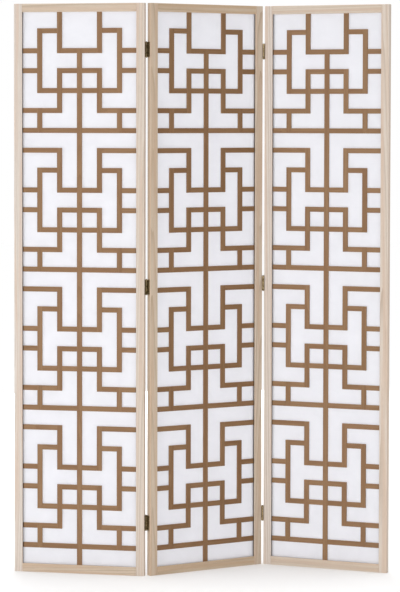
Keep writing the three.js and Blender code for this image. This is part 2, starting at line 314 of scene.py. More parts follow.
PITH_ASIDE = 20 * MM  # how far the tree's middle lies to either side of the board's
PITH_NEAR = 8 * MM  # and how near and how far behind it
PITH_FAR = 45 * MM
PITH_DRIFT = 0.03  # how fast the tree's middle nears the board along its length
PITH_LEAN = 0.01  # and how fast it moves aside
BOARD_APART = 3.0  # metres between two boards' places in the tree, so that no two match
TREE_LENGTH = 400.0
PULP_SPAN = 50.0  # how far apart two sheets may lie in one body of pulp


def board_grain(points, along, across, depth, boards=1):
    """The grain of one or more boards that share the points evenly. along, across and depth
    are the axes of the panel's frame that the board's length, width and thickness lie on."""
    each = len(points) // boards
    length = points[:, along]
    near = np.repeat(draws.uniform(PITH_NEAR, PITH_FAR, boards), each)
    aside = np.repeat(draws.uniform(-PITH_ASIDE, PITH_ASIDE, boards), each)
    drift = np.repeat(draws.uniform(-PITH_DRIFT, PITH_DRIFT, boards), each)
    lean = np.repeat(draws.uniform(-PITH_LEAN, PITH_LEAN, boards), each)
    start = np.repeat(np.arange(boards) * BOARD_APART + draws.uniform(0, TREE_LENGTH), each)
    width = points[:, across] - np.repeat(points[::each, across][:boards], each)
    return np.column_stack(
        [length + start, width + aside + lean * length, points[:, depth] + near + drift * length]
    )


# How dark and warm each board is, from 0 to 1, and how far a bar may differ from its panel's.
# Besides each board's own tone these hold painted shade: the middle panel faces away from the key
# light, so its boards and bars are set darker than the others'.
FRAME_TONES_AND_SHADE = {
    "left": {"left_stile": 0.0, "right_stile": 0.25, "top_rail": 0.6, "bottom_rail": 0.75},
    "middle": {"left_stile": 0.8, "right_stile": 0.65, "top_rail": 1.0, "bottom_rail": 1.0},
    "right": {"left_stile": 0.0, "right_stile": 0.25, "top_rail": 0.45, "bottom_rail": 0.5},
}
LATTICE_TONES_AND_SHADE = {"left": 0.3, "middle": 0.85, "right": 0.35}
BAR_TONE_SPREAD = 0.3

# Painted shade for the shadowed reveals: its strength on the lip in front of a stile's groove,
# from
# 0 to 1, and how far along the bars it reaches from a stile, as painted shadow at their ends.
LIP_PAINTED_SHADE = 0.3
END_PAINTED_SHADE = 4 * MM


def bar_tones(panel, points, bars):
    """A tone for each bar about its panel's, given at all the bar's points."""
    tone = LATTICE_TONES_AND_SHADE[panel] + draws.uniform(-1, 1, bars) * BAR_TONE_SPREAD
    return np.repeat(tone, points // bars)


# ---------------------------------------------------------------- stiles and rails


def board_section(width, thickness, radius, slot):
    """A board's section at each station, (stations, points, 2): the distance from the board's
    outer edge and the depth from its front. Four corner arcs, each of the station's own
    radius about the same centre, and between the inner two a slot: its front, back and depth
    at each station."""
    directions, sides = corner_arcs(EDGE_STEPS)
    half = np.array([width, thickness]) / 2
    corners = half + sides * (half - EDGE_ROUND) + radius[:, None, None] * directions
    face = width - EDGE_ROUND + radius
    floor = np.minimum(face, width - slot[:, 2])
    mouth = np.stack([face, floor, floor, face], axis=1)
    side = np.stack([slot[:, 0], slot[:, 0], slot[:, 1], slot[:, 1]], axis=1)
    cut = 2 * (EDGE_STEPS + 1)
    return np.concatenate(
        [corners[:, :cut], np.stack([mouth, side], axis=-1), corners[:, cut:]], axis=1
    )


def section_wear_and_highlight(stations):
    """How far round an eased edge each point of a board's section lies, from 0 to 1."""
    arc = np.sin(2 * quarter(EDGE_STEPS))
    return np.tile(np.concatenate([arc, arc, np.zeros(4), arc, arc]), stations)


def lip_painted_shade(along_groove):
    """Painted shade on a stile's shadowed reveal: the lip's set strength on the face between the
    front and the groove, 1 inside the groove, and 0 on every other point of its section.
    along_groove tells which stations lie on it."""
    corners = np.zeros(2 * (EDGE_STEPS + 1))
    section = np.concatenate([corners, [LIP_PAINTED_SHADE, 1, 1, 0], corners])
    section[len(corners) - 1] = LIP_PAINTED_SHADE
    return np.outer(along_groove, section).reshape(-1)


def make_stile(panel, edge):
    """A stile: its section carried up Z. Near the foot and the top the section's corners
    shrink over a quarter turn; a mortise and then the long groove open at their heights."""
    place = PLACES[panel]
    side = "left" if edge < 0 else "right"
    node = f"{panel}_{side}_stile"
    low, high = place.box(node)
    width, thickness, height = high - low
    rail_width = place.box(f"{panel}_bottom_rail")[1][2]
    opening = place.box(f"{panel}_right_stile")[0][0]
    tenon_reach = place.box(f"{panel}_bottom_rail")[1][0] - opening
    groove_front, groove_back = groove_depths(place, panel)
    middle = thickness / 2
    mortise = (
        middle - TENON_THICKNESS / 2 - FIT_GAP,
        middle + TENON_THICKNESS / 2 + FIT_GAP,
        tenon_reach + FIT_GAP,
    )
    groove = (groove_front, groove_back, GROOVE_DEPTH)
    plain = (groove_front, groove_back, 0.0)
    tenon_low = TENON_SHOULDER - FIT_GAP
    tenon_high = rail_width - GROOVE_DEPTH - TENON_SHOULDER + FIT_GAP
    groove_end = rail_width - GROOVE_DEPTH
    tilt = quarter(EDGE_STEPS)
    foot = [(EDGE_ROUND * (1 - math.cos(t)), EDGE_ROUND * math.sin(t), plain) for t in tilt]
    lower = foot + [
        (tenon_low, EDGE_ROUND, plain),
        (tenon_low, EDGE_ROUND, mortise),
        (tenon_high, EDGE_ROUND, mortise),
        (tenon_high, EDGE_ROUND, plain),
        (groove_end, EDGE_ROUND, plain),
        (groove_end, EDGE_ROUND, groove),
    ]
    upper = [(height - level, radius, slot) for level, radius, slot in reversed(lower)]
    stations = lower + upper
    level = np.array([station[0] for station in stations])
    radius = np.array([station[1] for station in stations])
    section = board_section(width, thickness, radius, np.array([s[2] for s in stations]))
    outer = low[0] if edge < 0 else high[0]
    across = outer - edge * section[..., 0]
    depth = low[1] + section[..., 1]
    levels = np.broadcast_to(low[2] + level[:, None], across.shape)
    points, faces = lofted(np.stack([across, depth, levels], axis=-1))
    attributes = {
        "grain": board_grain(points, along=2, across=0, depth=1),
        "wear_and_highlight": section_wear_and_highlight(len(stations)),
        # painted shade: the reveal in front of the groove is darkened where the stile's inner
        # side lies in shadow
        "painted_shade": lip_painted_shade(np.abs(level - height / 2) <= height / 2 - groove_end + FIT_GAP),
        "tone": np.full(len(points), FRAME_TONES_AND_SHADE[panel][f"{side}_stile"]),
    }
    add_piece(f"{node}_board", place.out(points), faces, frame_finish, f"{panel}_panel",
              [node], attributes)


def groove_depths(place, panel):
    """The front and back of the groove: a gap in front of the lattice and behind the paper."""
    front = place.box(f"{panel}_lattice")[0][1] - FIT_GAP
    back = place.box(f"{panel}_paper")[1][1] + FIT_GAP
    return front, back


def make_rail(panel, end):
    """A rail: its section, with the groove all along, carried along X. At each shoulder the
    section is cut back to the groove's floor and then to the tenon, by clipping its points."""
    place = PLACES[panel]
    node = f"{panel}_{end}_rail"
    low, high = place.box(node)
    reach = high[0]
    thickness = high[1] - low[1]
    width = high[2] - low[2]
    shoulder = place.box(f"{panel}_right_stile")[0][0] - BUTT_JOINT
    groove_front, groove_back = groove_depths(place, panel)
    slot = np.array([[groove_front, groove_back, GROOVE_DEPTH]])
    full = board_section(width, thickness, np.array([EDGE_ROUND]), slot)[0]
    tenon_top = width - GROOVE_DEPTH - TENON_SHOULDER
    middle = thickness / 2
    to_groove = np.minimum(full, [width - GROOVE_DEPTH, thickness])
    tenon = np.clip(
        full,
        [TENON_SHOULDER, middle - TENON_THICKNESS / 2],
        [tenon_top, middle + TENON_THICKNESS / 2],
    )
    half = [(shoulder, full), (shoulder, to_groove), (shoulder, tenon), (reach, tenon)]
    stations = [(-x, section) for x, section in reversed(half)] + half
    section = np.array([station[1] for station in stations])
    along = np.array([station[0] for station in stations])
    levels = low[2] + section[..., 0] if end == "bottom" else high[2] - section[..., 0]
    rings = np.stack(
        [np.broadcast_to(along[:, None], levels.shape), low[1] + section[..., 1], levels], axis=-1
    )
    points, faces = lofted(rings)
    attributes = {
        "grain": board_grain(points, along=0, across=2, depth=1),
        "wear_and_highlight": section_wear_and_highlight(len(stations)),
        "tone": np.full(len(points), FRAME_TONES_AND_SHADE[panel][f"{end}_rail"]),
    }
    add_piece(f"{node}_board", place.out(points), faces, frame_finish, f"{panel}_panel",
              [node], attributes)


# ---------------------------------------------------------------- lattice and paper

# A horizontal bar is (row, from column, to column) and a vertical one (column, from row, to
# row), in a motif whose own top row is 0. EDGE stands for the border at the panel's side.
EDGE = 3
HORIZONTAL_BARS = [
    (1, 1, 2),
    (2, 0, 1),
    (2, 2, EDGE),
    (3, 0, 1),
    (3, 2, EDGE),
    (4, 0, 2),
    (5, 1, EDGE),
    (6, 0, EDGE),
]
TOP_ROW_BAR = (0, 1, EDGE)
VERTICAL_BARS = [(1, 0, 2), (1, 3, 5), (2, 1, 4), (2, 5, 6)]
CENTRE_BAR_START = 2
LAST_ROW = MOTIFS * ROWS_PER_MOTIF - 1


def lattice_bars(half_width, bottom, top):
    """The bars of a whole panel as boxes (low x, low z, high x, high z): the upright ones
    whole, and the level ones between them. half_width, bottom and top are the opening's."""
    half = BAR_WIDTH / 2
    column_pitch = (half_width - SIDE_CELL - half) / OUTER_COLUMN
    row_pitch = (top - bottom - 2 * END_CELL - BAR_WIDTH) / (LAST_ROW - 1)
    row_height = [top - END_CELL - half - (row - 1) * row_pitch for row in range(LAST_ROW + 1)]
    uprights = []
    crossed = set()

    def add_upright(column, first, last):
        high = top + BORDER_COVER - BUTT_JOINT if first == 0 else row_height[first] + half
        low = bottom - BORDER_COVER + BUTT_JOINT if last > LAST_ROW else row_height[last] - half
        crossed.update((row, column) for row in range(first, last + 1))
        for x in {column * column_pitch, -column * column_pitch}:
            uprights.append((x - half, low, x + half, high))

    for motif in range(MOTIFS):
        start = motif * ROWS_PER_MOTIF
        for column, first, last in VERTICAL_BARS:
            add_upright(column, start + first, start + last)
    add_upright(0, CENTRE_BAR_START, LAST_ROW + 1)

    levels = []
    for motif in range(MOTIFS):
        start = motif * ROWS_PER_MOTIF
        rows = HORIZONTAL_BARS if motif == 0 else [TOP_ROW_BAR, *HORIZONTAL_BARS]
        for row, first, last in rows:
            z = row_height[start + row]
            columns = range(first, min(last, OUTER_COLUMN) + 1)
            stops = [c * column_pitch for c in columns if (start + row, c) in crossed]
            if last == EDGE:
                stops.append(half_width + BORDER_COVER + half)
            for near, far in zip(stops, stops[1:]):
                near, far = near + half + BUTT_JOINT, far - half - BUTT_JOINT
                levels.append((near, z - half, far, z + half))
                levels.append((-far, z - half, -near, z + half))
    return np.array(uprights), np.array(levels)


def make_lattice(panel):
    """The lattice: rounded bars that meet at hairline joints, and the border strip round them
    that the frame's groove holds."""
    place = PLACES[panel]
    node = f"{panel}_lattice"
    low, high = place.box(node)
    half_width = place.box(f"{panel}_right_stile")[0][0]
    bottom = place.box(f"{panel}_bottom_rail")[1][2]
    top = place.box(f"{panel}_top_rail")[0][2]
    uprights, levels = lattice_bars(half_width, bottom, top)
    inner = half_width + BORDER_COVER
    strips_up = [(inner, low[2], high[0], high[2]), (low[0], low[2], -inner, high[2])]
    strips_level = [
        (-inner + BUTT_JOINT, top + BORDER_COVER, inner - BUTT_JOINT, high[2]),
        (-inner + BUTT_JOINT, low[2], inner - BUTT_JOINT, bottom - BORDER_COVER),
    ]
    shapes, grains, wear_and_highlight, tones = [], [], [], []
    for bars, along, across in (
        (np.concatenate([uprights, strips_up]), 2, 0),
        (np.concatenate([levels, strips_level]), 0, 2),
    ):
        count = len(bars)
        lows = np.column_stack([bars[:, 0], np.full(count, low[1]), bars[:, 1]])
        highs = np.column_stack([bars[:, 2], np.full(count, high[1]), bars[:, 3]])
        points, faces, bar_wear_and_highlight = rounded_boxes(lows, highs, BAR_ROUND, BAR_STEPS)
        shapes.append((points, faces))
        grains.append(board_grain(points, along, across, 1, boards=count))
        wear_and_highlight.append(bar_wear_and_highlight)
        tones.append(bar_tones(panel, len(points), count))
    points, faces = joined(*shapes)
    attributes = {
        "grain": np.concatenate(grains),
        "wear_and_highlight": np.concatenate(wear_and_highlight),
        # painted shadow: the bars darken towards their ends where they meet the stiles' shadowed
        # reveals
        "painted_shade": 1 + (np.abs(points[:, 0]) - half_width) / END_PAINTED_SHADE,
        "tone": np.concatenate(tones),
    }
    add_piece(f"{panel}_lattice_bars", place.out(points), faces, lattice_finish,
              f"{panel}_panel", [node], attributes)


def make_paper(panel):
    """The sheet: a grid over the frame's opening and groove, flat at its rim, with shallow
    waves inside, the sum of three sines that run at odd angles."""
    place = PLACES[panel]
    node = f"{panel}_paper"
    low, high = place.box(node)
    x, z = np.meshgrid(
        np.linspace(low[0], high[0], PAPER_COLUMNS), np.linspace(low[2], high[2], PAPER_ROWS)
    )
    rim = np.minimum(np.minimum(x - low[0], high[0] - x), np.minimum(z - low[2], high[2] - z))
    free = np.clip((rim - GROOVE_DEPTH) / PAPER_TAUT, 0, 1)
    phases = draws.uniform(0, 2 * math.pi, len(PAPER_RIPPLES))
    wave = sum(np.sin(a * x + b * z + c) for (a, b), c in zip(PAPER_RIPPLES, phases))
    bulge = PAPER_WAVE * free * free * (3 - 2 * free) * wave / len(PAPER_RIPPLES)
    front = np.stack([x, low[1] + bulge, z], axis=-1)
    back = np.stack([x, high[1] + bulge, z], axis=-1)
    points, faces = slab(front, back)
    grain = points[:, [0, 2, 1]] + draws.uniform(0, PULP_SPAN, 3)
    sheet = add_piece(f"{panel}_paper_sheet", place.out(points), faces, paper_finish,
                      f"{panel}_panel", [node], {"grain": grain})


# ---------------------------------------------------------------- hinges

# A hinge is made about its pin: X towards the leaf's own stile, Y out from the face that the
# barrel stands proud of, Z up from the hinge's middle.
LEVELS = ("upper", "centre", "lower")


def ribbon(middle, thickness):
    """The closed outline of a strip of sheet metal: its middle line moved half a thickness to
    one side along its normal, and then back along the other side."""
    along = np.gradient(middle, axis=0)
    along = along / np.linalg.norm(along, axis=1, keepdims=True)
    aside = np.column_stack([-along[:, 1], along[:, 0]]) * thickness / 2
    return np.concatenate([middle + aside, (middle - aside)[::-1]])


def knuckle(bottom, top, plate_middle, plate_edge):
    """One knuckle: the leaf's sheet swings out from the plate in a smooth S and rolls round
    the pin for three quarters of a turn, until its tip meets the plate again."""
    roll = (BARREL_RADIUS + BORE_RADIUS) / 2
    wall = BARREL_RADIUS - BORE_RADIUS
    share = np.linspace(0, 1, BEND_POINTS)[:-1]
    swing = share * share * (3 - 2 * share)
    across = plate_middle + (roll - plate_middle) * swing
    bend = np.column_stack([across, plate_edge * (1 - share)])
    angle = np.linspace(0, KNUCKLE_TURN, ROLL_POINTS)
    arc = roll * np.column_stack([np.cos(angle), np.sin(angle)])
    line = np.concatenate([bend, arc])
    ends = ((bottom, CHAMFER), (bottom + CHAMFER, 0), (top - CHAMFER, 0), (top, CHAMFER))
    rings = []
    for level, thinner in ends:
        outline = ribbon(line, wall - thinner)
        rings.append(np.column_stack([outline, np.full(len(outline), level)]))
    return lofted(np.array(rings))


def screw_shape():
    """A countersunk screw along Z, its head's face at Z = 0 and its tip below: rings from the
    head's middle out, sunk where they cross the two arms of the recess, then down the cone
    and the shank to the tip."""
    angle = np.linspace(0, 2 * math.pi, SCREW_SIDES, endpoint=False)
    radius = np.linspace(0, 1, FACE_RINGS)[:, None] * SCREW_HEAD_RADIUS * SCREW_FACE
    x, y = radius * np.cos(angle), radius * np.sin(angle)
    narrow = np.minimum(np.abs(x), np.abs(y))
    far = np.maximum(np.abs(x), np.abs(y))
    inside = np.minimum(RECESS_WIDTH / 2 - narrow, RECESS_REACH - far)
    sunk = RECESS_DEPTH * np.clip(inside / RECESS_SLOPE + 0.5, 0, 1)
    head = np.stack([x, y, -sunk], axis=-1)
    body = np.array(
        [
            [SCREW_HEAD_RADIUS, -SCREW_RIM_LEVEL],
            [SCREW_RADIUS, -SCREW_NECK_LEVEL],
            [SCREW_RADIUS, -SCREW_TAPER_LEVEL],
            [SCREW_TIP_RADIUS, -SCREW_TIP_LEVEL],
            [0, -SCREW_END_LEVEL],
        ]
    )
    wide = body[:, 0, None]
    level = np.repeat(body[:, 1:], SCREW_SIDES, axis=1)
    rest = np.stack([wide * np.cos(angle), wide * np.sin(angle), level], axis=-1)
    return lofted(np.concatenate([head, rest]))


def countersink_cutter():
    """What a screw's hole takes out of a leaf: a cone down to a shank's clearance."""
    head, shank = SCREW_HEAD_RADIUS + HOLE_CLEARANCE, SCREW_RADIUS + HOLE_CLEARANCE
    profile = np.array(
        [
            [0, HOLE_TOP],
            [head, HOLE_TOP],
            [head, -HOLE_RIM_LEVEL],
            [shank, -HOLE_NECK_LEVEL],
            [shank, -HOLE_END_LEVEL],
            [0, -HOLE_END_LEVEL],
        ]
    )
    return spun(profile[:, 0], profile[:, 1], PIN_SIDES)


def laid_in_leaf(shape, face, plate_y, level):
    """Turns a shape made along Z for a screw so that Z points along -X, out of the leaf's
    inner side, and puts it at that side, in the plate's middle and at its level."""
    points, faces = shape
    turned = np.column_stack([face - points[:, 2], plate_y + points[:, 1], level + points[:, 0]])
    return turned, faces


def cut(points, faces, cutter):
    """The shape less the cutter, as a new mesh's points and faces."""
    made = []
    for name, shape in (("whole", (points, faces)), ("cutter", cutter)):
        mesh = bpy.data.meshes.new(name)
        mesh.from_pydata(shape[0] / MM, [], shape[1])
        work = bmesh.new()
        work.from_mesh(mesh)
        bmesh.ops.remove_doubles(work, verts=work.verts, dist=MERGE_DISTANCE / MM)
        bmesh.ops.recalc_face_normals(work, faces=work.faces)
        work.to_mesh(mesh)
        work.free()
        thing = bpy.data.objects.new(name, mesh)
        bpy.context.scene.collection.objects.link(thing)
        made.append(thing)
    whole, tool = made
    boolean = whole.modifiers.new("cut", "BOOLEAN")
    boolean.operation = "DIFFERENCE"
    boolean.solver = "EXACT"
    boolean.use_self = True
    boolean.object = tool
    depsgraph = bpy.context.evaluated_depsgraph_get()
    result = whole.evaluated_get(depsgraph).to_mesh()
    corners = np.empty(len(result.vertices) * 3)
    result.vertices.foreach_get("co", corners)
    outlines = [list(face.vertices) for face in result.polygons]
    for thing in made:
        mesh = thing.data
        bpy.data.objects.remove(thing)
        bpy.data.meshes.remove(mesh)
    return corners.reshape(-1, 3) * MM, outlines


class HingedEdge:
    """One panel's share of one joint: the panel, the joint's name, the leaf's name, the side
    of the pin that its stile lies on (side: 1 for +X), the way that the barrel stands proud
    (out: 1 for the back) and the number of its lowest knuckle, counted from the foot."""

    def __init__(self, panel, joint, leaf, side, out, first_knuckle):
        self.panel, self.joint, self.leaf = panel, joint, leaf
        self.side, self.out, self.first_knuckle = side, out, first_knuckle
        self.place = PLACES[panel]

    def pin(self, level):
        """The pin's middle in the panel's own frame."""
        low, high = self.place.box(f"{self.joint}_{level}_hinge_pin")
        return (low + high) / 2

    def put(self, points, level):
        """Points about the pin, in the row's frame."""
        return self.place.out(points * [self.side, self.out, 1] + self.pin(level))


def make_leaf(edge, level):
    """A leaf: a plate with rounded edges on the stile, and the knuckles that it carries."""
    node = f"{edge.joint}_{level}_hinge_{edge.leaf}_leaf"
    low, high = edge.place.box(node)
    pin = edge.pin(level)
    height = high[2] - low[2]
    plate_end = ((np.array([low[1], high[1]]) - pin[1]) * edge.out).min()
    screw_low, screw_high = edge.place.box(f"{edge.joint}_{level}_hinge_{edge.leaf}_screw_top")
    inner = np.abs(np.array([screw_low[0], screw_high[0]]) - pin[0]).min()
    outer = inner + LEAF_THICKNESS
    plate_edge = -(BARREL_RADIUS + FIT_GAP)
    plate_middle = (inner + outer) / 2
    plate = rounded_boxes(
        np.array([[inner, plate_end, -height / 2]]),
        np.array([[outer, plate_edge, height / 2]]),
        LEAF_ROUND,
        LEAF_STEPS,
    )[:2]
    screw_y = (screw_low[1] + screw_high[1]) / 2
    plate_y = (screw_y - pin[1]) * edge.out
    screw_levels = {"top": SCREW_SPACING / 2, "bottom": -SCREW_SPACING / 2}
    cutter = countersink_cutter()
    holes = [laid_in_leaf(cutter, inner, plate_y, rise) for rise in screw_levels.values()]
    shapes = [cut(*plate, joined(*holes))]
    pitch = height / KNUCKLES
    for number in range(edge.first_knuckle, KNUCKLES, 2):
        bottom = -height / 2 + number * pitch + KNUCKLE_GAP / 2
        shapes.append(knuckle(bottom, bottom + pitch - KNUCKLE_GAP, plate_middle, plate_edge))
    points, faces = joined(*shapes)
    add_piece(f"{node}_plate", edge.put(points, level), faces, brass_finish,
              f"{edge.panel}_panel", [node])
    for end, rise in screw_levels.items():
        screw = f"{edge.joint}_{level}_hinge_{edge.leaf}_screw_{end}"
        points, faces = laid_in_leaf(screw_shape(), inner, plate_y, rise)
        add_piece(f"{screw}_turned", edge.put(points, level), faces, screw_finish,
                  f"{edge.panel}_panel", [screw])


def make_pin(edge, level):
    """The pin: a round bar with a low domed head past each end of the barrel, spun about Z."""
    node = f"{edge.joint}_{level}_hinge_pin"
    low, high = edge.place.box(node)
    end = (high[2] - low[2]) / 2
    under = end - PIN_HEAD_HEIGHT
    rim = under + PIN_HEAD_RIM
    dome = quarter(DOME_STEPS)[::-1]
    top_radius = PIN_HEAD_RADIUS * np.sin(dome)
    top_height = rim + (end - rim) * np.cos(dome)
    radius = np.concatenate([[PIN_RADIUS, PIN_RADIUS, PIN_HEAD_RADIUS], top_radius])
    height = np.concatenate([[0, under, under], top_height])
    radius = np.concatenate([radius[::-1], radius[1:]])
    height = np.concatenate([-height[::-1], height[1:]])
    points, faces = spun(radius, height, PIN_SIDES)
    add_piece(f"{node}_turned", edge.put(points, level), faces, brass_finish,
              f"{edge.panel}_panel", [node])


# ---------------------------------------------------------------- finishes


def colour(red, green, blue):
    """A colour given as 0 to 255 on a screen, in linear light."""
    channels = np.array([red, green, blue]) / 255
    linear = np.where(channels <= 0.04045, channels / 12.92, ((channels + 0.055) / 1.055) ** 2.4)
    return (*linear.tolist(), 1.0)


class Finish:
    """A procedural material. Each method adds one node and gives its output socket."""

    def __init__(self, name):
        self.material = bpy.data.materials.new(name)
        self.material.use_nodes = True
        self.tree = self.material.node_tree
        self.surface = self.tree.nodes["Principled BSDF"]

    def node(self, kind, inputs=(), **settings):
        """Adds a node. inputs are pairs of a socket's name or number and its value or link."""
        made = self.tree.nodes.new(kind)
        for key, value in settings.items():
            setattr(made, key, value)
        for key, value in inputs:
            self.set(made, key, value)
        return made

    def set(self, node, key, value):
        """Links a node's socket to another's output, or gives it a value of its own."""
        if isinstance(value, bpy.types.NodeSocket):
            self.tree.links.new(value, node.inputs[key])
        else:
            node.inputs[key].default_value = value

    def attribute(self, name, output):
        """What the mesh holds for each point under this name."""
        return self.node("ShaderNodeAttribute", attribute_name=name).outputs[output]

    def place(self):
        """The place in the piece's own coordinates."""
        return self.node("ShaderNodeTexCoord").outputs["Object"]

    def scaled(self, vector, scale, shift=(0, 0, 0)):
        """A vector times scale, axis by axis, and then moved by shift."""
        inputs = [("Vector", vector), ("Scale", scale), ("Location", shift)]
        return self.node("ShaderNodeMapping", inputs).outputs[0]

    def noise(self, vector, scale=1.0, detail=2.0, roughness=0.5, distortion=0.0):
        """Cloudy noise about 0.5."""
        inputs = [("Vector", vector), ("Scale", scale), ("Detail", detail),
                  ("Roughness", roughness), ("Distortion", distortion)]
        return self.node("ShaderNodeTexNoise", inputs).outputs[0]

    def math(self, operation, first, second):
        """One sum on two numbers."""
        inputs = [(0, first), (1, second)]
        return self.node("ShaderNodeMath", inputs, operation=operation).outputs[0]

    def spread(self, value, low, high, to_low=0.0, to_high=1.0):
        """A value from low to high, clamped, as one from to_low to to_high."""
        inputs = [(0, value), (1, low), (2, high), (3, to_low), (4, to_high)]
        return self.node("ShaderNodeMapRange", inputs).outputs[0]

    def mixed(self, share, first, second, blend="MIX"):
        """The first colour with the given share of the second blended in."""
        inputs = [(0, share), (6, first), (7, second)]
        made = self.node("ShaderNodeMix", inputs, data_type="RGBA", blend_type=blend)
        return made.outputs[2]

    def bump(self, height, strength, distance):
        """The surface's direction, tilted by the slopes of height."""
        inputs = [("Height", height), ("Strength", strength), ("Distance", distance)]
        return self.node("ShaderNodeBump", inputs).outputs[0]

    def surface_set(self, **values):
        """Sets or links the surface's own sockets, by name."""
        for key, value in values.items():
            self.set(self.surface, key.replace("_", " "), value)


# Every pattern's scale is per metre along the grain and twice across it.
RING_SCALE = (0.055, 1, 1)
PATCH_SCALE = (1.1, 38, 38)
FIBRE_SCALE = (9, 900, 900)
STREAK_SCALE = (1.6, 95, 95)
PORE_SCALE = (60, 2600, 2600)
FIBRE_SHARE = 0.05
PORE_SHARE = 0.13
# How much paler eased edges are: partly from wearing, partly a painted highlight along lit
# arrises.
WEAR_AND_HIGHLIGHT_SHARE = 0.15
WORN_SMOOTH = 0.1
ROUGHNESS_SPREAD = 0.07
WOOD_RELIEF = 0.12 * MM
# The near-black of the painted shade on the stiles' reveals and at the bars' ends, and how much
# of it is laid on.
PAINTED_SHADE_COLOUR = colour(40, 25, 14)
PAINTED_SHADE_SHARE = 0.9


def wood(name, light, dark, warm, deep, ring_spacing, ring_share, roughness):
    """Planed wood. Saw-tooth rings round the tree's middle, bent by noise that is stretched
    along the board, darken towards each ring's edge. Fine fibres and short pores run along the
    board, and broad streaks warm it. Each board is multiplied by its own tone between white and
    deep; for the middle panel this also holds painted shade. Eased edges are paler, partly from
    wearing and partly as a painted highlight, and on the shadowed reveals and at the bars' ends
    painted shade makes the wood nearly black."""
    finish = Finish(name)

    def times(first, second):
        return finish.math("MULTIPLY", first, second)

    grain = finish.attribute("grain", "Vector")
    tone = finish.attribute("tone", "Fac")
    wear_and_highlight = finish.attribute("wear_and_highlight", "Fac")
    ring_inputs = [
        ("Vector", finish.scaled(grain, RING_SCALE)),
        ("Scale", 0.1 * math.pi / ring_spacing),
        ("Distortion", 5.5),
        ("Detail", 2.5),
        ("Detail Scale", 0.42),
        ("Detail Roughness", 0.5),
    ]
    rings = finish.node("ShaderNodeTexWave", ring_inputs, wave_type="RINGS", rings_direction="X",
                        wave_profile="SAW").outputs[0]
    late = finish.spread(rings, 0.35, 0.95)
    patches = finish.noise(finish.scaled(grain, PATCH_SCALE), detail=1.0)
    late = times(times(late, late), finish.spread(patches, 0.3, 0.7, 0.35, 1.0))
    fibres = finish.noise(finish.scaled(grain, FIBRE_SCALE), detail=3.0, roughness=0.65)
    streaks = finish.noise(finish.scaled(grain, STREAK_SCALE, (3, 0, 0)), detail=2.0)
    pores = finish.noise(finish.scaled(grain, PORE_SCALE, (7, 0, 0)), detail=0.0)
    pores = finish.spread(pores, 0.66, 0.76)

    base = finish.mixed(times(late, ring_share), light, dark)
    base = finish.mixed(finish.spread(streaks, 0.44, 0.62, 0, 0.9), base, warm)
    shade = times(finish.spread(fibres, 0.3, 0.7, -1, 1), FIBRE_SHARE)
    # Eased edges paler: partly from wearing, partly a painted highlight.
    shade = finish.math("ADD", shade, times(wear_and_highlight, WEAR_AND_HIGHLIGHT_SHARE))
    shade = finish.math("SUBTRACT", shade, times(pores, PORE_SHARE))
    shade = finish.math("ADD", shade, 1.0)
    grey = finish.node("ShaderNodeCombineXYZ", [(axis, shade) for axis in range(3)]).outputs[0]
    base = finish.mixed(1.0, base, grey, "MULTIPLY")
    # Each board's tone, which for the middle panel also holds painted shade.
    base = finish.mixed(tone, base, finish.mixed(1.0, base, deep, "MULTIPLY"))
    # Painted shade: near black on the shadowed reveals and at the bars' ends by the stiles.
    painted_shade = finish.spread(finish.attribute("painted_shade", "Fac"), 0.2, 0.75, 0, PAINTED_SHADE_SHARE)
    base = finish.mixed(painted_shade, base, PAINTED_SHADE_COLOUR)

    height = finish.math("ADD", times(fibres, 0.6), times(late, -0.5))
    height = finish.math("SUBTRACT", height, times(pores, 0.8))
    rough = finish.spread(
        fibres, 0.3, 0.7, roughness - ROUGHNESS_SPREAD, roughness + ROUGHNESS_SPREAD
    )
    rough = finish.math("SUBTRACT", rough, times(wear_and_highlight, WORN_SMOOTH))
    finish.surface_set(Base_Color=base, Roughness=rough, Specular_IOR_Level=0.35,
                       Normal=finish.bump(height, 0.35, WOOD_RELIEF))
    return finish.material


PAPER_WHITE = colour(244, 244, 247)
PAPER_CLOUD = colour(241, 241, 244)
PAPER_THREAD = colour(250, 250, 252)
PAPER_THROUGH = 0.6  # the share of the surface that passes light on
PULP_SCALE = (26, 26, 26)
LEVEL_FIBRE_SCALE = (38, 420, 60)
UPRIGHT_FIBRE_SCALE = (400, 46, 60)
THREAD_SHARE = 0.4
PAPER_RELIEF = 0.1 * MM


def paper(name):
    """White fibre paper that lets some light through: two crossing sets of long faint fibres
    over a fine cloudy pulp."""
    finish = Finish(name)
    grain = finish.attribute("grain", "Vector")
    cloud = finish.noise(finish.scaled(grain, PULP_SCALE), detail=5.0, roughness=0.6)
    level = finish.scaled(grain, LEVEL_FIBRE_SCALE)
    level = finish.spread(finish.noise(level, detail=3.0, distortion=1.6), 0.6, 0.74)
    upright = finish.scaled(grain, UPRIGHT_FIBRE_SCALE, (5, 0, 0))
    upright = finish.spread(finish.noise(upright, detail=3.0, distortion=1.8), 0.62, 0.76)
    threads = finish.math("MAXIMUM", level, upright)
    white = finish.mixed(finish.spread(cloud, 0.3, 0.7), PAPER_WHITE, PAPER_CLOUD)
    white = finish.mixed(finish.math("MULTIPLY", threads, THREAD_SHARE), white, PAPER_THREAD)
    normal = finish.bump(finish.math("ADD", cloud, threads), 0.25, PAPER_RELIEF)
    finish.surface_set(Base_Color=white, Roughness=0.85, Specular_IOR_Level=0.2, Normal=normal)
    through = finish.node("ShaderNodeBsdfTranslucent", [("Color", white), ("Normal", normal)])
    blend = finish.node(
        "ShaderNodeMixShader",
        [(0, PAPER_THROUGH), (1, finish.surface.outputs[0]), (2, through.outputs[0])],
    )
    output = finish.tree.nodes["Material Output"]
    finish.tree.links.new(blend.outputs[0], output.inputs["Surface"])
    return finish.material


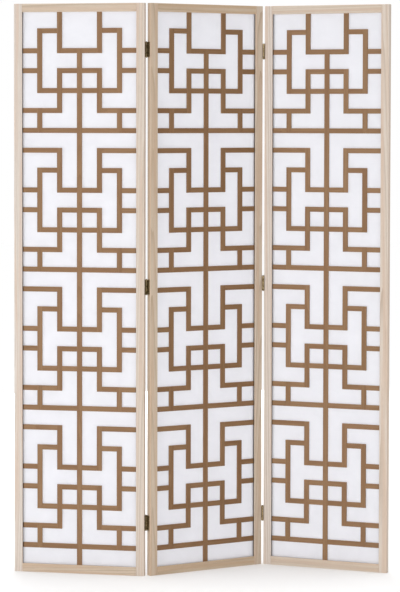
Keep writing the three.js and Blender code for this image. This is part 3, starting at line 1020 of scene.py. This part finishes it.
TARNISH_SCALE = 240
SPECK_SCALE = 1900
BRUSH_SCALE = (2600, 2600, 160)
TARNISH_ROUGHNESS = 0.2
METAL_RELIEF = 0.03 * MM


def metal(name, bright, tarnished, roughness):
    """Lacquered brass gone dull: cloudy tarnish, fine brushing, and small darker specks."""
    finish = Finish(name)
    place = finish.place()
    cloud = finish.noise(place, scale=TARNISH_SCALE, detail=4.0, roughness=0.6)
    specks = finish.noise(place, scale=SPECK_SCALE, detail=2.0)
    brushed = finish.noise(finish.scaled(place, BRUSH_SCALE), detail=2.0)
    dull = finish.spread(cloud, 0.38, 0.64)
    base = finish.mixed(dull, bright, tarnished)
    base = finish.mixed(finish.spread(specks, 0.62, 0.72, 0, 0.6), base, tarnished)
    rough = finish.math(
        "ADD",
        finish.spread(cloud, 0.35, 0.65, roughness, roughness + TARNISH_ROUGHNESS),
        finish.spread(brushed, 0.3, 0.7, -0.05, 0.05),
    )
    height = finish.math("ADD", finish.math("MULTIPLY", brushed, 0.4), specks)
    finish.surface_set(Base_Color=base, Metallic=1.0, Roughness=rough,
                       Normal=finish.bump(height, 0.25, METAL_RELIEF))
    return finish.material


frame_finish = wood(
    "pale_planed_wood",
    light=colour(219, 208, 198),
    dark=colour(172, 147, 124),
    warm=colour(213, 193, 177),
    deep=(0.85, 0.76, 0.62, 1),
    ring_spacing=4.2 * MM,
    ring_share=0.75,
    roughness=0.6,
)
lattice_finish = wood(
    "brown_stained_wood",
    light=colour(151, 117, 83),
    dark=colour(124, 90, 60),
    warm=colour(141, 105, 72),
    deep=(0.82, 0.78, 0.7, 1),
    ring_spacing=2.4 * MM,
    ring_share=0.6,
    roughness=0.58,
)
paper_finish = paper("white_fibre_paper")
brass_finish = metal("dull_brass", colour(188, 169, 132), colour(104, 88, 60), 0.36)
screw_finish = metal("dull_brass_screw", colour(180, 167, 132), colour(110, 96, 68), 0.28)

# ---------------------------------------------------------------- the screen

BACK = 1
FRONT = -1
HINGED_EDGES = (
    HingedEdge("middle", "left", "middle", side=1, out=BACK, first_knuckle=0),
    HingedEdge("left", "left", "wing", side=-1, out=BACK, first_knuckle=1),
    HingedEdge("middle", "right", "middle", side=-1, out=FRONT, first_knuckle=0),
    HingedEdge("right", "right", "wing", side=1, out=FRONT, first_knuckle=1),
)

for panel in PANELS:
    make_stile(panel, -1)
    make_stile(panel, 1)
    make_rail(panel, "top")
    make_rail(panel, "bottom")
    make_lattice(panel)
    make_paper(panel)
for edge in HINGED_EDGES:
    for level in LEVELS:
        make_leaf(edge, level)
        if edge.leaf == "middle":
            make_pin(edge, level)

# ---------------------------------------------------------------- floor, light and camera

FLOOR_SIZE = 40.0
FLOOR_WHITE = (0.86, 0.86, 0.86, 1)
FLOOR_GLOW = 0.05
LIGHT_TARGET = (0, 0, 0.85)


def make_floor():
    """A flat pale floor."""
    half = FLOOR_SIZE / 2
    corners = [(-half, -half, 0), (half, -half, 0), (half, half, 0), (-half, half, 0)]
    mesh = bpy.data.meshes.new("floor")
    mesh.from_pydata(corners, [], [(0, 1, 2, 3)])
    finish = Finish("pale_floor")
    finish.surface_set(Base_Color=FLOOR_WHITE, Roughness=0.9, Specular_IOR_Level=0.1,
                       Emission_Color=(1, 1, 1, 1), Emission_Strength=FLOOR_GLOW)
    mesh.materials.append(finish.material)
    floor = bpy.data.objects.new("floor", mesh)
    bpy.context.scene.collection.objects.link(floor)


def make_world(seen, given):
    """A plain world: white where the camera looks past the floor, softer as a light."""
    world = bpy.data.worlds.new("studio")
    bpy.context.scene.world = world
    world.use_nodes = True
    nodes, links = world.node_tree.nodes, world.node_tree.links
    background = nodes["Background"]
    background.inputs["Color"].default_value = (1, 1, 1, 1)
    rays = nodes.new("ShaderNodeLightPath")
    strength = nodes.new("ShaderNodeMapRange")
    strength.inputs[3].default_value = given
    strength.inputs[4].default_value = seen
    links.new(rays.outputs["Is Camera Ray"], strength.inputs[0])
    links.new(strength.outputs[0], background.inputs["Strength"])


def add_light(name, kind, energy, place, target=LIGHT_TARGET, **settings):
    """A light that points at target and isn't seen itself."""
    light = bpy.data.lights.new(name, kind)
    light.energy = energy
    for key, value in settings.items():
        setattr(light, key, value)
    lamp = bpy.data.objects.new(name, light)
    bpy.context.scene.collection.objects.link(lamp)
    lamp.location = place
    lamp.visible_camera = False
    lamp.rotation_mode = "QUATERNION"
    lamp.rotation_quaternion = (Vector(place) - Vector(target)).to_track_quat("Z", "Y")


make_floor()
make_world(seen=1.0, given=0.53)
add_light("overhead", "SUN", 1.85, (0, 0, 6), angle=math.radians(34))
add_light("key", "AREA", 185.0, (-5.4, -5.7, 0.8), shape="SQUARE", size=2.8)
add_light("behind", "AREA", 125.0, (-0.8, 5.0, 1.1), shape="SQUARE", size=2.6)
add_light("low", "AREA", 3.5, (0.5, -2.2, 0.3), (0.2, 0, 0.1), shape="SQUARE", size=1.2,
          color=(1, 0.93, 0.84))

CAMERA_PLACE = (-0.0060, -7.8663, 1.3619)
CAMERA_TILT = 0.0454  # down from level
CAMERA_ROLL = 0.0019
FOCAL_PIXELS = 2623.7
IMAGE_HEIGHT = 592
LENS_MIDDLE = 237  # pixels down from the picture's top
SENSOR = 36.0
VIEW_END = 100

view = bpy.data.cameras.new("view")
view.sensor_width = SENSOR
view.lens = FOCAL_PIXELS * SENSOR / IMAGE_HEIGHT
view.shift_y = (LENS_MIDDLE - IMAGE_HEIGHT / 2) / IMAGE_HEIGHT
view.clip_end = VIEW_END
camera = bpy.data.objects.new("view", view)
bpy.context.scene.collection.objects.link(camera)
camera.matrix_world = (
    Matrix.Translation(CAMERA_PLACE)
    @ Matrix.Rotation(math.pi / 2 - CAMERA_TILT, 4, "X")
    @ Matrix.Rotation(CAMERA_ROLL, 4, "Z")
)
bpy.context.scene.camera = camera
bpy.context.scene.view_settings.view_transform = "Standard"
bpy.context.scene.view_settings.exposure = 0.0
bpy.context.scene.view_settings.gamma = 1.0
